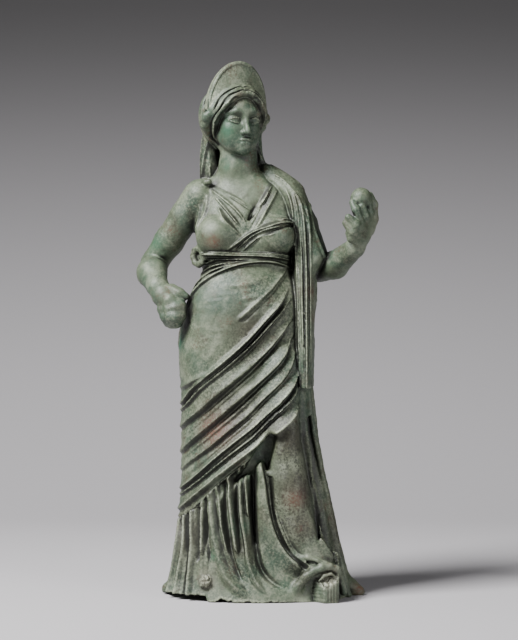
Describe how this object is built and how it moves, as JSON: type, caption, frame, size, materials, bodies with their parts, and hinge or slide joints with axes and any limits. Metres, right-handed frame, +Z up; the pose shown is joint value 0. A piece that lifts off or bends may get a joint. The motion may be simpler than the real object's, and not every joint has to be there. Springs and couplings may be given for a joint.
{
  "type": "draped bronze statuette",
  "caption": "Standing draped female figure cast in bronze, with diadem and veil, one hand on the hip and the other raised with a round fruit, resting on its own hem.",
  "frame": {"origin": "middle of the bounding box's footprint, on the flat underside that the figure stands on", "axes": "+Z up through the head, the figure's front faces -Y, its right hand is towards -X"},
  "size_m": [0.2268, 0.1282, 0.5004],
  "materials": {
    "patinated_bronze": "matt grey-green patina with dark hollows and brown stains"
  },
  "bodies": {
    "root": {"draped_figure": "patinated_bronze"}
  },
  "joints": []
}
